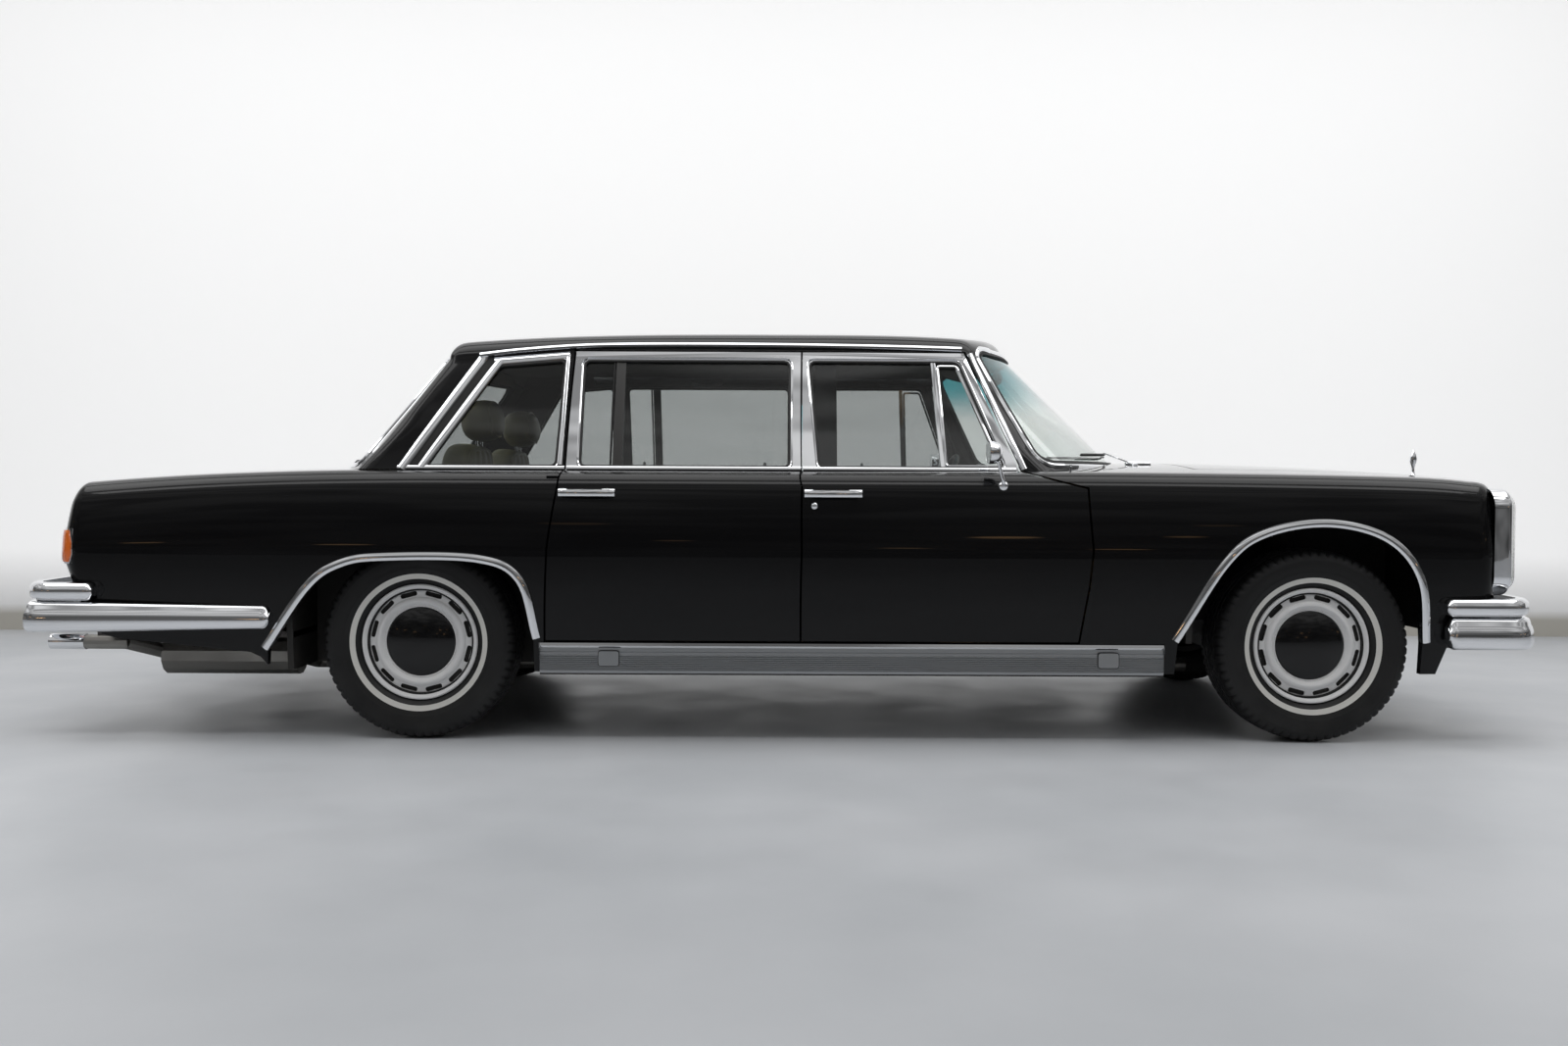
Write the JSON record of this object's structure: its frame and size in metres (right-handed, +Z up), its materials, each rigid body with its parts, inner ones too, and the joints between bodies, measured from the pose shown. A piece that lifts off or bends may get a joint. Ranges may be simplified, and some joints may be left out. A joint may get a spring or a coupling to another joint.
{
  "type": "limousine",
  "caption": "Classic four-door limousine with a long wheelbase, chrome bumpers and grille, opening doors, bonnet and boot, steered front wheels and free-turning wheels.",
  "frame": {"origin": "on the ground, under the middle of the overall box", "axes": "+X forward to the grille, +Y to the car's left, +Z up"},
  "size_m": [5.54, 2.07, 1.5199],
  "materials": {
    "body_paint": "glossy black paint",
    "underbody": "satin black",
    "cast_metal": "bare casting",
    "chrome": "polished",
    "ribbed_aluminium": "ribbed, bright anodised",
    "window_glass": "faint green tint",
    "lamp_glass": "fluted clear lens",
    "amber_lens": "ribbed translucent",
    "exhaust_steel": "dull steel",
    "seat_trim": "tan, soft grain",
    "dash_trim": "padded black",
    "wheel_rim_trim": "dark moulded rim",
    "wheel_metal": "bright trim with black cap",
    "tyre": "black rubber with a white ring"
  },
  "bodies": {
    "shell": {"cabin_frame_right": "body_paint", "cabin_frame_left": "body_paint", "roof": "body_paint", "floor_pan": "underbody", "bulkhead": "body_paint", "scuttle": "body_paint", "wing_right": "body_paint", "wing_left": "body_paint", "front_panel": "body_paint", "rear_body": "body_paint", "windscreen": "window_glass", "backlight": "window_glass", "quarter_glass_right": "window_glass", "quarter_glass_left": "window_glass", "headlamps": "lamp_glass", "tail_lamps": "amber_lens", "grille": "chrome", "bonnet_finial": "chrome", "front_bumper": "chrome", "rear_bumper": "chrome", "front_suspension": "underbody", "rear_axle": "underbody", "engine": "cast_metal", "gearbox_and_shaft": "underbody", "fuel_tank": "underbody", "exhaust_right": "exhaust_steel", "exhaust_left": "exhaust_steel", "seat_front_right": "seat_trim", "seat_front_left": "seat_trim", "seat_rear": "seat_trim", "dashboard": "dash_trim", "steering_column": "dash_trim", "sill_trim_right": "ribbed_aluminium", "sill_trim_left": "ribbed_aluminium"},
    "steering_wheel": {"steering_wheel": "wheel_rim_trim"},
    "bonnet": {"bonnet": "body_paint"},
    "boot_lid": {"boot_lid": "body_paint"},
    "door_front_right": {"door_front_right": "body_paint", "door_glass_front_right": "window_glass", "door_mirror_right": "chrome"},
    "door_front_left": {"door_front_left": "body_paint", "door_glass_front_left": "window_glass", "door_mirror_left": "chrome"},
    "door_rear_right": {"door_rear_right": "body_paint", "door_glass_rear_right": "window_glass"},
    "door_rear_left": {"door_rear_left": "body_paint", "door_glass_rear_left": "window_glass"},
    "knuckle_right": {"knuckle_right": "cast_metal"},
    "knuckle_left": {"knuckle_left": "cast_metal"},
    "wheel_front_right": {"rim_front_right": "wheel_metal", "tyre_front_right": "tyre"},
    "wheel_front_left": {"rim_front_left": "wheel_metal", "tyre_front_left": "tyre"},
    "wheel_rear_right": {"rim_rear_right": "wheel_metal", "tyre_rear_right": "tyre"},
    "wheel_rear_left": {"rim_rear_left": "wheel_metal", "tyre_rear_left": "tyre"}
  },
  "joints": [
    {"name": "door_front_right_hinge", "type": "hinge", "parent": "shell", "child": "door_front_right", "pos_m": [1.1315, -0.9765, 0.65], "axis": [0, 0, 1], "range_deg": [0, 65]},
    {"name": "door_front_left_hinge", "type": "hinge", "parent": "shell", "child": "door_front_left", "pos_m": [1.1315, 0.9765, 0.65], "axis": [0, 0, -1], "range_deg": [0, 65]},
    {"name": "door_rear_right_hinge", "type": "hinge", "parent": "shell", "child": "door_rear_right", "pos_m": [0.1045, -0.9765, 0.65], "axis": [0, 0, 1], "range_deg": [0, 65]},
    {"name": "door_rear_left_hinge", "type": "hinge", "parent": "shell", "child": "door_rear_left", "pos_m": [0.1045, 0.9765, 0.65], "axis": [0, 0, -1], "range_deg": [0, 65]},
    {"name": "bonnet_hinge", "type": "hinge", "parent": "shell", "child": "bonnet", "pos_m": [1.5375, 0, 1.0125], "axis": [0, -1, 0], "range_deg": [0, 50]},
    {"name": "boot_lid_hinge", "type": "hinge", "parent": "shell", "child": "boot_lid", "pos_m": [-1.765, 0, 0.979], "axis": [0, 1, 0], "range_deg": [0, 60]},
    {"name": "steering_wheel_turn", "type": "hinge", "parent": "shell", "child": "steering_wheel", "pos_m": [0.69, 0.375, 0.865], "axis": [-0.891, 0, 0.454], "range_deg": [-528, 528]},
    {"name": "steer_right", "type": "hinge", "parent": "shell", "child": "knuckle_right", "pos_m": [1.91, -0.7, 0.347], "axis": [0, 0, 1], "range_deg": [-33, 33]},
    {"name": "steer_left", "type": "hinge", "parent": "shell", "child": "knuckle_left", "pos_m": [1.91, 0.7, 0.347], "axis": [0, 0, 1], "range_deg": [-33, 33]},
    {"name": "wheel_front_right_spin", "type": "hinge", "parent": "knuckle_right", "child": "wheel_front_right", "pos_m": [1.91, -0.79, 0.347], "axis": [0, 1, 0], "continuous": true},
    {"name": "wheel_front_left_spin", "type": "hinge", "parent": "knuckle_left", "child": "wheel_front_left", "pos_m": [1.91, 0.79, 0.347], "axis": [0, 1, 0], "continuous": true},
    {"name": "wheel_rear_right_spin", "type": "hinge", "parent": "shell", "child": "wheel_rear_right", "pos_m": [-1.29, -0.79, 0.347], "axis": [0, 1, 0], "continuous": true},
    {"name": "wheel_rear_left_spin", "type": "hinge", "parent": "shell", "child": "wheel_rear_left", "pos_m": [-1.29, 0.79, 0.347], "axis": [0, 1, 0], "continuous": true}
  ],
  "couplings": [
    {"joint": "steer_right", "follows": "steer_left", "ratio": 1},
    {"joint": "steering_wheel_turn", "follows": "steer_left", "ratio": 16}
  ]
}
